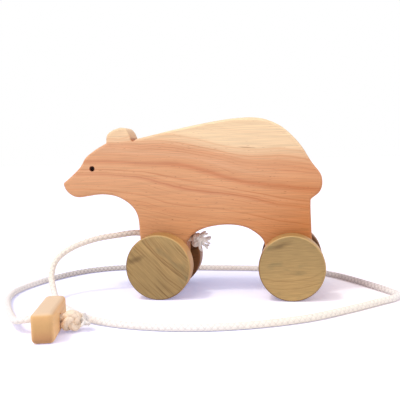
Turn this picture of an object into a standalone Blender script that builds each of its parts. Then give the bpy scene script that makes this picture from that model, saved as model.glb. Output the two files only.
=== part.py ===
"""Wooden bear pull toy: a bear sawn from one plank, on two wheelsets, with a pull cord and handle.

The bear stands along X with its nose at -X, its height is Z and its thickness Y.
The floor is z = 0, and the origin is under the middle of the bear, nose to tail.
"""

import math

import bmesh
import bpy
from mathutils import Matrix, Vector

MM = 0.001

# Plank and its edges
PLANK_THICKNESS = 19.0 * MM
EDGE_ROUND = 1.6 * MM
EDGE_STEPS = 3
OUTLINE_SPACING = 1.7 * MM

# Wheels and axles; the rear wheels are a little smaller
FRONT_WHEEL_RADIUS = 21.0 * MM
REAR_WHEEL_RADIUS = 20.5 * MM
WHEEL_THICKNESS = 14.0 * MM
WHEEL_EDGE_ROUND = 1.2 * MM
WHEEL_SIDES = 56
WHEEL_GAP = 4.0 * MM
AXLE_RADIUS = 3.0 * MM
AXLE_SIDES = 20
AXLE_BORE_RADIUS = 3.5 * MM
WHEEL_BORE_DEPTH = 9.0 * MM
FRONT_AXLE_X = -18.2 * MM
REAR_AXLE_X = 66.0 * MM

# Clearance that neighbouring pieces keep
CLEARANCE = 0.3 * MM

# Eye, drilled right through the head
EYE_X = -65.2 * MM
EYE_Z = 84.5 * MM
EYE_RADIUS = 1.7 * MM

# Leg ends, each a half circle about its axle's height
FRONT_LEG_X = -18.2 * MM
FRONT_LEG_RADIUS = 15.2 * MM
REAR_LEG_X = 64.4 * MM
REAR_LEG_RADIUS = 15.0 * MM

# Cord, and its bore through the front leg, lower at the back than at the chest. The free cord
# reaches a little into the bore at each end and leaves it straight
CORD_RADIUS = 2.0 * MM
CORD_BORE_RADIUS = 2.5 * MM
BORE_FRONT = Vector((-34.2, 0.0, 39.2)) * MM
BORE_BACK = Vector((-1.2, 0.0, 35.6)) * MM
FLOOR_CORD_Z = 2.2 * MM
CORD_POINTS = 78
CORD_INSIDE = 1.0 * MM
CORD_STRAIGHT = 5.5 * MM
SPAN_STEPS = 12

# Handle: a small block lying on the floor, its length along its own Y
HANDLE_LENGTH = 38.4 * MM
HANDLE_WIDTH = 11.6 * MM
HANDLE_HEIGHT = 15.8 * MM
HANDLE_EDGE_ROUND = 2.2 * MM
HANDLE_BORE_RADIUS = 2.6 * MM
HANDLE_X = -61.3 * MM
HANDLE_Y = -95.9 * MM
HANDLE_TURN = math.radians(12.6)

# Knots: an overhand knot in the cord, pulled tight, with a frayed end
LEG_KNOT_CENTRE = Vector((3.6, 0.0, 33.6)) * MM
LEG_KNOT_RING = 2.4 * MM
HANDLE_KNOT_RING = 2.9 * MM
HANDLE_KNOT_REACH = 6.2 * MM
HANDLE_KNOT_Z = 5.9 * MM
KNOT_WAVE_SHARE = 0.54
KNOT_CORE_SHARE = 0.85
KNOT_CORD_RADIUS = 1.75 * MM
KNOT_OPENING = 0.36
KNOT_STEPS = 32
KNOT_STRETCHES = 4
KNOT_SPAN_STEPS = 4
FRAY_SIDES = 15
FRAY_OVERLAP = 1.5 * MM

# Outline of the bear in millimetres, as (x, z), from the nose round by the feet to the back
CHIN_AND_CHEST = [
    (-86.2, 74.6), (-85.3, 71.6), (-83.1, 68.6), (-79.4, 66.1), (-75.2, 65.3), (-69.2, 66.0),
    (-62.4, 66.9), (-56.0, 66.8), (-49.1, 65.4), (-42.7, 62.0), (-38.1, 57.8), (-35.6, 53.4),
    (-34.6, 48.4), (-34.3, 43.0), (-34.0, 38.0), (-33.6, 30.0), (-33.4, 21.0),
]
BELLY_ARCH = [
    (-3.0, 21.0), (-2.8, 30.0), (-2.3, 34.2), (-1.0, 36.6), (1.2, 39.0), (4.4, 41.2), (8.4, 43.1),
    (13.2, 44.5), (19.4, 45.5), (25.7, 45.8), (32.1, 45.2), (37.8, 43.6), (42.1, 41.1),
    (45.6, 38.4), (47.9, 35.6), (48.9, 32.4), (49.3, 27.0), (49.4, 21.0),
]
RUMP = [(79.4, 21.0), (79.3, 30.0), (78.9, 38.0), (78.6, 48.0), (78.4, 56.0), (78.5, 61.2)]
TAIL_AND_BACK = [
    (79.2, 62.2), (81.4, 63.8), (83.9, 65.9), (85.4, 68.7), (86.0, 72.3), (85.4, 76.6), (83.5, 80.0),
    (80.6, 83.7), (77.5, 88.4), (74.4, 93.8), (70.8, 98.7), (66.5, 103.4), (61.0, 108.2),
    (54.9, 111.6), (48.7, 113.8), (42.2, 114.7), (35.4, 114.7), (27.4, 114.2), (18.1, 113.1),
    (8.4, 111.6), (-2.0, 109.8), (-11.6, 108.0), (-21.3, 106.0), (-28.0, 104.6), (-33.4, 103.6),
]
EAR = [
    (-36.4, 102.3), (-37.3, 103.2), (-37.9, 104.6), (-38.4, 106.0), (-39.2, 107.7), (-40.2, 109.2),
    (-41.6, 110.5), (-43.2, 111.1), (-44.9, 111.2), (-46.6, 110.8), (-48.0, 110.4), (-49.6, 109.9),
    (-51.0, 109.2), (-52.6, 108.3), (-53.8, 107.1), (-54.5, 105.6), (-54.8, 103.8),
]
FOREHEAD_AND_MUZZLE = [
    (-54.9, 101.3), (-60.7, 98.3), (-65.2, 95.5), (-68.4, 93.2), (-70.6, 90.9), (-72.1, 88.2),
    (-73.9, 85.9), (-76.4, 83.3), (-79.8, 80.3), (-84.0, 76.9), (-85.7, 75.7),
]

# Route of the free cord in millimetres, from the chest to the handle; None is the floor's height
CORD_ROUTE = [
    (-50.4, -1.0, 38.6), (-66.0, -5.0, 36.4), (-79.8, -11.6, 32.0), (-88.6, -18.8, 25.4),
    (-90.2, -25.8, 16.8), (-85.6, -34.4, 8.0), (-78.0, -45.0, None), (-64.0, -60.6, None),
    (-46.0, -77.0, None), (-20.0, -86.8, None), (12.0, -89.0, None), (44.0, -82.4, None),
    (74.0, -68.4, None), (99.0, -48.6, None), (117.0, -32.2, None), (126.6, -23.4, None),
    (130.4, -14.8, None), (126.8, -5.6, None), (115.0, 14.2, None), (98.0, 38.8, None),
    (78.0, 54.0, None), (46.0, 63.0, None), (8.0, 65.6, None), (-34.0, 66.6, None),
    (-66.0, 65.6, None), (-89.0, 55.6, None), (-105.0, 37.6, None), (-116.4, 12.6, None),
    (-121.2, -12.0, None), (-117.4, -33.0, None), (-108.6, -51.6, None), (-99.6, -66.4, 2.4),
    (-91.4, -79.0, 3.2), (-85.0, -89.4, 4.8), (-79.4, -96.6, 6.6),
]

COLOURS = {
    "cherry_heartwood": (0.76, 0.39, 0.20, 0.55),
    "olive_brown_hardwood": (0.42, 0.27, 0.12, 0.50),
    "birch_dowel": (0.76, 0.58, 0.36, 0.60),
    "pale_handle_wood": (0.80, 0.52, 0.28, 0.55),
    "braided_cotton": (0.86, 0.82, 0.74, 0.90),
}


def clear_scene():
    """Remove whatever the scene holds at the start."""
    for item in list(bpy.data.objects):
        bpy.data.objects.remove(item, do_unlink=True)


def finish(name):
    """Return the Principled material of the given name, making it on first use."""
    material = bpy.data.materials.get(name)
    if material is None:
        red, green, blue, roughness = COLOURS[name]
        material = bpy.data.materials.new(name)
        material.use_nodes = True
        shader = material.node_tree.nodes["Principled BSDF"]
        shader.inputs["Base Color"].default_value = (red, green, blue, 1.0)
        shader.inputs["Roughness"].default_value = roughness
        shader.inputs["Metallic"].default_value = 0.0
    return material


def add_object(name, data, finish_name=None, parent=None, location=(0.0, 0.0, 0.0), turn=0.0):
    """Link a mesh or curve as a named object, turned about Z and placed under its parent."""
    item = bpy.data.objects.new(name, data)
    bpy.context.scene.collection.objects.link(item)
    item.location = location
    item.rotation_euler = (0.0, 0.0, turn)
    item.parent = parent
    if finish_name is not None:
        data.materials.clear()
        data.materials.append(finish(finish_name))
    return item


def add_empty(name, location):
    """An empty that carries the pieces of one assembly."""
    return add_object(name, None, location=location)


def mesh_from(shape, name, smooth_angle=35.0):
    """Turn a bmesh into a mesh whose normals point out and whose round faces are smooth."""
    bmesh.ops.recalc_face_normals(shape, faces=shape.faces)
    mesh = bpy.data.meshes.new(name)
    shape.to_mesh(mesh)
    shape.free()
    mesh.shade_smooth()
    mesh.set_sharp_from_angle(angle=math.radians(smooth_angle))
    return mesh


def spline_point(before, start, end, after, share):
    """A point on the Catmull-Rom curve from start to end."""
    cubic = 3.0 * (start - end) + after - before
    square = 2.0 * before - 5.0 * start + 4.0 * end - after
    slope = end - before
    return 0.5 * (2.0 * start + slope * share + square * share ** 2 + cubic * share ** 3)


def smooth_run(points, per_span=SPAN_STEPS):
    """A fine smooth curve through the points."""
    points = [Vector(point) for point in points]
    padded = [2.0 * points[0] - points[1]] + points + [2.0 * points[-1] - points[-2]]
    run = []
    for index in range(len(points) - 1):
        for step in range(per_span):
            run.append(spline_point(*padded[index:index + 4], step / per_span))
    run.append(points[-1])
    return run


def even_points(run, count):
    """Points at even distances along a fine run, both ends kept."""
    lengths = [0.0]
    for start, end in zip(run, run[1:]):
        lengths.append(lengths[-1] + (end - start).length)
    result = []
    index = 0
    for step in range(count):
        target = lengths[-1] * step / (count - 1)
        while index < len(run) - 2 and lengths[index + 1] < target:
            index += 1
        share = (target - lengths[index]) / (lengths[index + 1] - lengths[index])
        result.append(run[index].lerp(run[index + 1], min(share, 1.0)))
    return result


def outline_run(points_mm):
    """A stretch of the outline through points in millimetres, at the outline's spacing."""
    run = smooth_run([Vector(point) * MM for point in points_mm])
    length = sum((end - start).length for start, end in zip(run, run[1:]))
    return even_points(run, max(3, round(length / OUTLINE_SPACING) + 1))


def arc(centre, radius, first_degrees, last_degrees):
    """Points along an arc in the plane of the outline."""
    sweep = math.radians(last_degrees - first_degrees)
    steps = max(4, round(abs(sweep) * radius / OUTLINE_SPACING))
    points = []
    for step in range(steps + 1):
        angle = math.radians(first_degrees) + sweep * step / steps
        points.append(Vector((centre[0] + radius * math.cos(angle), centre[1] + radius * math.sin(angle))))
    return points


def bear_outline():
    """The closed outline of the bear, seen from -Y, counterclockwise from the nose."""
    outline = outline_run(CHIN_AND_CHEST)
    outline += arc((FRONT_LEG_X, FRONT_WHEEL_RADIUS), FRONT_LEG_RADIUS, 180.0, 360.0)
    outline += outline_run(BELLY_ARCH)
    outline += arc((REAR_LEG_X, REAR_WHEEL_RADIUS), REAR_LEG_RADIUS, 180.0, 360.0)
    outline += outline_run(RUMP)
    outline += outline_run(TAIL_AND_BACK)
    outline += outline_run(EAR)
    outline += outline_run(FOREHEAD_AND_MUZZLE)
    closed = []
    for point in outline:
        if not closed or (point - closed[-1]).length > 0.3 * MM:
            closed.append(point)
    return closed


def inset(outline, distance):
    """The outline moved into the wood by a distance, square to its own edges."""
    moved = []
    for index, point in enumerate(outline):
        before = (point - outline[index - 1]).normalized()
        after = (outline[(index + 1) % len(outline)] - point).normalized()
        normal_before = Vector((-before.y, before.x))
        normal_after = Vector((-after.y, after.x))
        middle = (normal_before + normal_after).normalized()
        moved.append(point + middle * distance / max(0.6, middle.dot(normal_before)))
    return moved


def plank_mesh():
    """The bear as a plank: one outline in layers through the thickness, rounded at both faces."""
    half = PLANK_THICKNESS / 2.0
    outline = bear_outline()
    layers = []
    for step in range(EDGE_STEPS + 1):
        angle = math.radians(90.0) * step / EDGE_STEPS
        depth = half - EDGE_ROUND * (1.0 - math.cos(angle))
        layers.append((-depth, EDGE_ROUND * (1.0 - math.sin(angle))))
    layers += [(-depth, distance) for depth, distance in reversed(layers)]
    shape = bmesh.new()
    loops = []
    for depth, distance in layers:
        points = inset(outline, distance)
        loops.append([shape.verts.new((point.x, depth, point.y)) for point in points])
    count = len(outline)
    for lower, upper in zip(loops, loops[1:]):
        for index in range(count):
            following = (index + 1) % count
            shape.faces.new((lower[index], lower[following], upper[following], upper[index]))
    shape.faces.new(loops[0])
    shape.faces.new(loops[-1])
    return mesh_from(shape, "bear_plank")


def rod_mesh(name, start, end, radius, sides):
    """A closed round rod between two points."""
    span = end - start
    turn = Vector((0.0, 0.0, 1.0)).rotation_difference(span).to_matrix().to_4x4()
    place = Matrix.Translation((start + end) / 2.0) @ turn
    shape = bmesh.new()
    bmesh.ops.create_cone(shape, cap_ends=True, segments=sides, radius1=radius, radius2=radius,
                          depth=span.length, matrix=place)
    return mesh_from(shape, name)


def turned_mesh(name, profile, sides):
    """A solid turned about its Y axis from a profile of (radius, y) that starts and ends on it."""
    shape = bmesh.new()
    verts = [shape.verts.new((radius, place, 0.0)) for radius, place in profile]
    edges = [shape.edges.new(pair) for pair in zip(verts, verts[1:])]
    bmesh.ops.spin(shape, geom=verts + edges, cent=(0.0, 0.0, 0.0), axis=(0.0, 1.0, 0.0),
                   angle=math.tau, steps=sides, use_merge=True, use_duplicate=False)
    bmesh.ops.remove_doubles(shape, verts=shape.verts, dist=0.001 * MM)
    return mesh_from(shape, name)


def cut(item, cutter):
    """Cut a piece by a hidden wire cutter with a live Boolean."""
    cutter.hide_render = True
    cutter.display_type = "WIRE"
    modifier = item.modifiers.new("cut_" + cutter.name, "BOOLEAN")
    modifier.operation = "DIFFERENCE"
    modifier.object = cutter


def drill(item, name, start, end, radius, sides, parent=None):
    """Drill a round hole through a piece between two points."""
    cutter = add_object(name, rod_mesh(name, start, end, radius, sides), parent=parent)
    cut(item, cutter)


def make_bear():
    """The plank bear with its axle bores, cord bore and drilled eye."""
    bear = add_object("bear_body", plank_mesh(), "cherry_heartwood")
    through = Vector((0.0, PLANK_THICKNESS, 0.0))
    holes = [
        ("front_axle_bore", FRONT_AXLE_X, FRONT_WHEEL_RADIUS, AXLE_BORE_RADIUS, 24),
        ("rear_axle_bore", REAR_AXLE_X, REAR_WHEEL_RADIUS, AXLE_BORE_RADIUS, 24),
        ("eye_hole", EYE_X, EYE_Z, EYE_RADIUS, 16),
    ]
    for name, x, z, radius, sides in holes:
        centre = Vector((x, 0.0, z))
        drill(bear, name, centre - through, centre + through, radius, sides)
    beyond = (BORE_FRONT - BORE_BACK).normalized() * 8.0 * MM
    drill(bear, "cord_bore", BORE_BACK - beyond, BORE_FRONT + beyond, CORD_BORE_RADIUS, 16)


def rounded_corner(radius, place, turn_radius, first_degrees, last_degrees, steps=3):
    """Profile points of a quarter round, as (radius, y) about a corner's own centre."""
    points = []
    for step in range(steps + 1):
        angle = math.radians(first_degrees + (last_degrees - first_degrees) * step / steps)
        points.append((radius + turn_radius * math.cos(angle), place + turn_radius * math.sin(angle)))
    return points


def wheel_mesh(radius):
    """A plain disc with rounded edges and a blind bore in its inner face, which looks to -Y."""
    half = WHEEL_THICKNESS / 2.0
    rim = radius - WHEEL_EDGE_ROUND
    shoulder = half - WHEEL_EDGE_ROUND
    bore = AXLE_RADIUS + CLEARANCE
    profile = [(0.0, half)]
    profile += rounded_corner(rim, shoulder, WHEEL_EDGE_ROUND, 90.0, 0.0)
    profile += rounded_corner(rim, -shoulder, WHEEL_EDGE_ROUND, 0.0, -90.0)
    profile += [(bore, -half), (bore, -half + WHEEL_BORE_DEPTH), (0.0, -half + WHEEL_BORE_DEPTH)]
    return turned_mesh("wheel_disc", profile, WHEEL_SIDES)


def make_wheelset(end_name, axle_x, radius):
    """One axle with its two wheels, turning about the axle's own centre line."""
    carrier = add_empty(end_name + "_wheelset", (axle_x, 0.0, radius))
    disc = wheel_mesh(radius)
    offset = PLANK_THICKNESS / 2.0 + WHEEL_GAP + WHEEL_THICKNESS / 2.0
    for side_name, y, turn in (("left", -offset, math.pi), ("right", offset, 0.0)):
        name = end_name + "_" + side_name + "_wheel"
        add_object(name, disc.copy(), "olive_brown_hardwood", carrier, (0.0, y, 0.0), turn)
    reach = offset - WHEEL_THICKNESS / 2.0 + WHEEL_BORE_DEPTH - CLEARANCE
    tip = Vector((0.0, reach, 0.0))
    add_object(end_name + "_axle", rod_mesh(end_name + "_dowel", -tip, tip, AXLE_RADIUS, AXLE_SIDES),
               "birch_dowel", carrier)


def tube_curve(name, points, radius):
    """A closed round tube along the points, as a curve with filled caps."""
    curve = bpy.data.curves.new(name, "CURVE")
    curve.dimensions = "3D"
    curve.bevel_depth = radius
    curve.bevel_resolution = 2
    curve.use_fill_caps = True
    spline = curve.splines.new("POLY")
    spline.points.add(len(points) - 1)
    for slot, point in zip(spline.points, points):
        slot.co = (*point, 1.0)
    return curve


def handle_side(share):
    """A point on the handle's bore axis: -1 is the mouth on its cord side, +1 on its knot side."""
    reach = share * HANDLE_WIDTH / 2.0
    turned = Matrix.Rotation(HANDLE_TURN, 3, "Z") @ Vector((reach, 0.0, 0.0))
    return Vector((HANDLE_X, HANDLE_Y, HANDLE_HEIGHT / 2.0)) + turned


def make_cord():
    """The free cord from the chest, once round the bear on the floor, to the handle."""
    outward = (BORE_FRONT - BORE_BACK).normalized()
    mouth = handle_side(-1.0)
    inward = (handle_side(1.0) - mouth).normalized()
    route = [BORE_FRONT - outward * CORD_INSIDE, BORE_FRONT + outward * CORD_STRAIGHT]
    for x, y, z in CORD_ROUTE:
        route.append(Vector((x * MM, y * MM, FLOOR_CORD_Z if z is None else z * MM)))
    route += [mouth - inward * CORD_STRAIGHT, mouth + inward * CORD_INSIDE]
    run = smooth_run(route)
    free = even_points(run[SPAN_STEPS:-SPAN_STEPS], CORD_POINTS - 2)
    points = [run[0], *free, run[-1]]
    for point in points:
        point.z = max(point.z, FLOOR_CORD_Z)
    add_object("pull_cord", tube_curve("pull_cord", points, CORD_RADIUS), "braided_cotton")


def make_handle():
    """The handle block with rounded edges and a cross bore for the cord."""
    shape = bmesh.new()
    bmesh.ops.create_cube(shape, size=1.0)
    bmesh.ops.scale(shape, vec=(HANDLE_WIDTH, HANDLE_LENGTH, HANDLE_HEIGHT), verts=shape.verts)
    bmesh.ops.bevel(shape, geom=shape.edges[:], offset=HANDLE_EDGE_ROUND, segments=3, profile=0.5,
                    affect="EDGES")
    centre = (HANDLE_X, HANDLE_Y, HANDLE_HEIGHT / 2.0)
    handle = add_object("pull_handle", mesh_from(shape, "handle_block"), "pale_handle_wood",
                        location=centre, turn=HANDLE_TURN)
    reach = Vector((HANDLE_WIDTH, 0.0, 0.0))
    drill(handle, "handle_bore", -reach, reach, HANDLE_BORE_RADIUS, 16, parent=handle)


def knot_run(ring):
    """An overhand knot round the origin, its cord in from -X and out to +X over the top at +Y.

    The middle of the run is a trefoil, a wave of three round two turns of a ring. Its two
    ends pass each other at the top. Pulled tight, its strands press together round a full core.
    """
    wave = KNOT_WAVE_SHARE * ring
    top = ring + 0.6 * wave
    middle = []
    for step in range(KNOT_STEPS + 1):
        angle = KNOT_OPENING + (math.tau - 2.0 * KNOT_OPENING) * step / KNOT_STEPS
        radius = ring + wave * math.cos(3.0 * angle)
        depth = 1.3 * wave * math.sin(3.0 * angle)
        middle.append(Vector((radius * math.sin(2.0 * angle), radius * math.cos(2.0 * angle), depth)))
    entry = Vector((-0.35 * ring, top, 0.8 * wave))
    leave = [Vector((0.35 * ring, top, -0.8 * wave)), Vector((1.9 * ring, 0.4 * ring, 0.0))]
    return entry, middle, leave


def fray_mesh(place, length, spread):
    """A frayed end: a rippled tuft that flares from the cord along its own Z."""
    profile = [(0.0, 0.0), (0.9, 0.0), (1.0, 0.16), (1.3, 0.4), (1.9, 0.68), (2.3, 0.9), (1.7, 1.0)]
    shape = bmesh.new()
    foot = shape.verts.new((0.0, 0.0, 0.0))
    tip = shape.verts.new((0.0, 0.0, 0.94 * length))
    rings = []
    for radius, height in profile[1:]:
        ring = []
        for index in range(FRAY_SIDES):
            angle = math.tau * index / FRAY_SIDES
            ripple = 1.0 + 0.13 * height * math.cos(angle * 5.0)
            size = radius / 2.3 * spread * ripple
            ring.append(shape.verts.new((size * math.cos(angle), size * math.sin(angle), height * length)))
        rings.append(ring)
    for lower, upper in zip(rings, rings[1:]):
        for index in range(FRAY_SIDES):
            following = (index + 1) % FRAY_SIDES
            shape.faces.new((lower[index], lower[following], upper[following], upper[index]))
    for index in range(FRAY_SIDES):
        following = (index + 1) % FRAY_SIDES
        shape.faces.new((foot, rings[0][following], rings[0][index]))
        shape.faces.new((tip, rings[-1][index], rings[-1][following]))
    bmesh.ops.transform(shape, matrix=place, verts=shape.verts)
    return mesh_from(shape, "frayed_end")


def make_knotted_end(name, stub, knot_place, ring, fray_axis, fray_length, fray_spread):
    """The stretch of cord in a bore, the overhand knot behind it and its frayed end, as one solid."""
    entry, middle, leave = knot_run(ring)
    middle = [knot_place @ point for point in middle]
    tail = [knot_place @ point for point in leave]
    stretches = [smooth_run([*stub, knot_place @ entry, *middle[:2]], KNOT_SPAN_STEPS)]
    share = KNOT_STEPS // KNOT_STRETCHES
    for index in range(KNOT_STRETCHES):
        last = min((index + 1) * share + 1, KNOT_STEPS)
        stretches.append(middle[index * share:last + 1])
    stretches.append(smooth_run([middle[-2], middle[-1], *tail], KNOT_SPAN_STEPS))
    parts = []
    for index, points in enumerate(stretches):
        radius = CORD_RADIUS if index == 0 else KNOT_CORD_RADIUS
        part_name = name if index == 0 else name + "_strand"
        parts.append(add_object(part_name, tube_curve(part_name, points, radius)))
    core = bmesh.new()
    bmesh.ops.create_icosphere(core, subdivisions=2, radius=KNOT_CORE_SHARE * ring, matrix=knot_place)
    parts.append(add_object(name + "_core", mesh_from(core, name + "_core")))
    fray_turn = Vector((0.0, 0.0, 1.0)).rotation_difference(fray_axis).to_matrix().to_4x4()
    fray_place = Matrix.Translation(tail[-1] - fray_axis * FRAY_OVERLAP) @ fray_turn
    parts.append(add_object(name + "_fray", fray_mesh(fray_place, fray_length, fray_spread)))
    join_solids(parts)


def evaluated_mesh(item):
    """A piece's mesh with its modifiers, its seams merged."""
    mesh = bpy.data.meshes.new_from_object(item.evaluated_get(bpy.context.evaluated_depsgraph_get()))
    shape = bmesh.new()
    shape.from_mesh(mesh)
    bmesh.ops.remove_doubles(shape, verts=shape.verts, dist=0.001 * MM)
    return shape


def outer_shell(shape):
    """Keep a solid's outer shell, and so fill the small pockets that pressed strands enclose."""
    shells = []
    waiting = set(shape.verts)
    while waiting:
        shell = []
        front = [waiting.pop()]
        while front:
            vert = front.pop()
            shell.append(vert)
            for edge in vert.link_edges:
                other = edge.other_vert(vert)
                if other in waiting:
                    waiting.remove(other)
                    front.append(other)
        shells.append(shell)
    shells.sort(key=len)
    for shell in shells[:-1]:
        bmesh.ops.delete(shape, geom=shell, context="VERTS")


def join_solids(parts):
    """Unite overlapping solids in one object, which keeps the first one's name.

    Strands that press side by side make EXACT leave edges with three faces, so the unions are
    made by MANIFOLD, whose meshes are all closed here.
    """
    name = parts[0].name
    solids = [mesh_from(evaluated_mesh(part), part.name) for part in parts]
    for part in parts:
        bpy.data.objects.remove(part, do_unlink=True)
    base = add_object(name + "_base", solids[0])
    others = [add_object(solid.name, solid) for solid in solids[1:]]
    for other in others:
        modifier = base.modifiers.new("join_" + other.name, "BOOLEAN")
        modifier.operation = "UNION"
        modifier.solver = "MANIFOLD"
        modifier.object = other
    bpy.context.view_layer.update()
    shape = evaluated_mesh(base)
    for item in [base, *others]:
        bpy.data.objects.remove(item, do_unlink=True)
    outer_shell(shape)
    add_object(name, mesh_from(shape, name), "braided_cotton")


def make_leg_knot():
    """Cord end behind the front leg: it fills the bore and is knotted and frayed in the arch."""
    along = (BORE_BACK - BORE_FRONT).normalized()
    stub = [BORE_FRONT + along * (CORD_INSIDE + CLEARANCE), BORE_BACK]
    upright = Matrix.Rotation(math.radians(90.0), 4, "X")
    make_knotted_end("leg_knot", stub, Matrix.Translation(LEG_KNOT_CENTRE) @ upright, LEG_KNOT_RING,
                     Vector((0.995, -0.1, 0.0)), 7.5 * MM, 5.2 * MM)


def make_handle_knot():
    """Cord end at the handle: it fills the handle's bore, and is knotted and frayed beside it."""
    mouth = handle_side(1.0)
    outward = (mouth - handle_side(-1.0)).normalized()
    stub = [handle_side(-1.0) + outward * (CORD_INSIDE + CLEARANCE), mouth]
    centre = mouth + outward * HANDLE_KNOT_REACH
    centre.z = HANDLE_KNOT_Z
    upright = Matrix.Rotation(HANDLE_TURN, 4, "Z") @ Matrix.Rotation(math.radians(90.0), 4, "X")
    make_knotted_end("handle_knot", stub, Matrix.Translation(centre) @ upright, HANDLE_KNOT_RING,
                     Vector((0.995, -0.1, 0.0)), 6.5 * MM, 4.2 * MM)


def main():
    """Make the toy, piece by piece."""
    clear_scene()
    make_bear()
    make_wheelset("front", FRONT_AXLE_X, FRONT_WHEEL_RADIUS)
    make_wheelset("rear", REAR_AXLE_X, REAR_WHEEL_RADIUS)
    make_cord()
    make_handle()
    make_leg_knot()
    make_handle_knot()
    bpy.context.view_layer.update()


main()
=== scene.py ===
"""Wooden bear pull toy: finished surfaces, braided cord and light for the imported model.

The bear stands along X with its nose at -X, its height is Z and its thickness Y.
Lengths are metres in the meshes and millimetres where a name ends in _mm.
"""

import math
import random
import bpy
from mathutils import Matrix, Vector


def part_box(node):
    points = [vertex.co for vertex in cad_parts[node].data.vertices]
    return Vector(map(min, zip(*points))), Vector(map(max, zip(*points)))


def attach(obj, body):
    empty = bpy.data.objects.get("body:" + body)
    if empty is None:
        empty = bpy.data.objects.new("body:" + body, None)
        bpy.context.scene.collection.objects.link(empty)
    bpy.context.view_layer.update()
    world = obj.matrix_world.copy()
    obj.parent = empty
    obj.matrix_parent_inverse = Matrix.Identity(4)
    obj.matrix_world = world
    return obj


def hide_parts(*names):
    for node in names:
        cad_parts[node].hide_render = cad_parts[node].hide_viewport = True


bl_info = {
    "name": "Wooden Bear Pull Toy",
    "version": (1, 0, 0),
    "blender": (4, 5, 0),
    "location": "3D Viewport > Sidebar > Bear Toy",
    "description": "Makes the cord, knots, plank bear, wheels and stage of a wooden pull toy",
    "category": "Add Mesh",
}

from functools import partial
from typing import NamedTuple

import bmesh
import bpy
import numpy as np
from mathutils import Matrix, Quaternion, Vector

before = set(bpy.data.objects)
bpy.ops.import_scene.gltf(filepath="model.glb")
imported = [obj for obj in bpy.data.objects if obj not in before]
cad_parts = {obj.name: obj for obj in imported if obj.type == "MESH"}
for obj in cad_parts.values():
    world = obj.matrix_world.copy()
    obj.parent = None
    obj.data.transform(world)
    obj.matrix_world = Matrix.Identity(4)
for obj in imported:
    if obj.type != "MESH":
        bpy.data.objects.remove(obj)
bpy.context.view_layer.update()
AXLE_LOW, AXLE_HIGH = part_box("front_axle")

MM = 0.001

# Places of the two axles, of the eye and of the notch behind the ear
AXLE_MM = {"front": (-18.2, 0.0, 21.0), "rear": (66.0, 0.0, 20.5)}
EYE_MM = (-65.2, 0.0, 84.5)
NOTCH_MM = (-36.6, 0.0, 102.8)

# The dark gum line's place along X and across the growth rings, and its half sizes
GUM_LINE_MM = ((38.5, 104.6), (6.5, 0.45))

# Wheels with blind bores, and axles
WHEEL_SIDES = 112
WHEEL_BORE_RADIUS = 3.3 * MM
WHEEL_BORE_DEPTH = 9.0 * MM
AXLE_SIDES = 48
AXLE_EDGE = 0.4 * MM

# The braid's strands that run each way round the cord, and the sides of its tube
STRANDS = 3.0
CORD_SIDES = 32
CORD_STEP = 0.4 * MM

# Loose yarns and hairs of the frayed ends; PLY_TWIST is one turn of a yarn's three plies
YARN_STEPS = 14
YARN_SIDES = 18
YARN_STEP = 0.2 * MM
YARN_CURL = 7.5
PLY_TWIST = 2.6 * MM
HAIRS = 46
HAIR_STEPS = 5
HAIR_LENGTH = 7.0 * MM
HAIR_RADII = (0.06 * MM, 0.03 * MM)

# Gloss of oiled wood and of cotton, on the shader's own sockets
OILED = {"IOR": 1.46, "Specular IOR Level": 0.4}
SOFT = {"Sheen Weight": 0.25, "Specular IOR Level": 0.25}

# Cord bore through the front leg, and how the free cord meets its two bores
BORE_FRONT = Vector((-34.2, 0.0, 39.2)) * MM
BORE_BACK = Vector((-1.2, 0.0, 35.6)) * MM
FLOOR_CORD_Z = 2.2 * MM
CORD_INSIDE = 1.0 * MM
CORD_STRAIGHT = 5.5 * MM
BORE_GAP = 0.3 * MM
SPAN_STEPS = 12

# Handle block on the floor
HANDLE_MM = (11.6, 38.4, 15.8)
HANDLE_PLACE = Vector((-61.3, -95.9, 7.9)) * MM
HANDLE_TURN = math.radians(12.6)
HANDLE_BORE_RADIUS = 2.6 * MM

# Each knot's place, its ring and its turn, and where its cord starts on the cord's length
LEG_KNOT_CENTRE = Vector((2.9, 0.0, 34.6)) * MM
LEG_KNOT_RING = 2.3 * MM
LEG_KNOT_TURN = math.radians(290.0)
LEG_KNOT_START = 0.05
HANDLE_KNOT_REACH = 5.6 * MM
HANDLE_KNOT_Z = 5.9 * MM
HANDLE_KNOT_RING = 2.8 * MM
HANDLE_KNOT_SWING = math.radians(30.0)
HANDLE_KNOT_START = 0.82

# The strand's wave in a knot, as a share of the ring, and the gap where the cord comes in and out
KNOT_WAVE_SHARE = 0.54
KNOT_OPENING = 0.36
KNOT_STEPS = 32
KNOT_STEP = 0.3 * MM

# Where the frayed yarns of each knot end
LEG_TIPS_MM = [
    (10.8, -1.6, 39.6), (12.6, -0.8, 36.8), (12.8, -2.4, 33.6), (11.8, 0.6, 31.0),
    (10.4, -2.2, 28.8), (7.6, -3.4, 27.8), (12.2, 2.4, 35.2), (8.6, 1.6, 39.8),
    (9.6, -3.4, 36.6), (9.2, -3.6, 32.2), (6.4, -4.2, 37.4),
]
HANDLE_TIPS_MM = [
    (-41.2, -91.0, 8.4), (-40.4, -93.6, 6.0), (-41.6, -92.6, 2.6), (-43.0, -94.6, 9.4),
    (-42.4, -89.4, 6.8), (-43.0, -95.4, 3.4), (-43.4, -90.0, 2.6), (-40.2, -91.2, 4.6),
]

# Camera: its place, its lens on a 36 mm frame, and its turns to the side, up and about its axis
CAMERA_MM = (65.11, -372.59, 92.18)
CAMERA_LENS = 50.83
CAMERA_TURNS = ((9.02, "Z"), (90.0 - 4.64, "X"), (-1.67, "Z"))

# Paper floor's width in metres
FLOOR_WIDTH = 12.0

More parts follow.
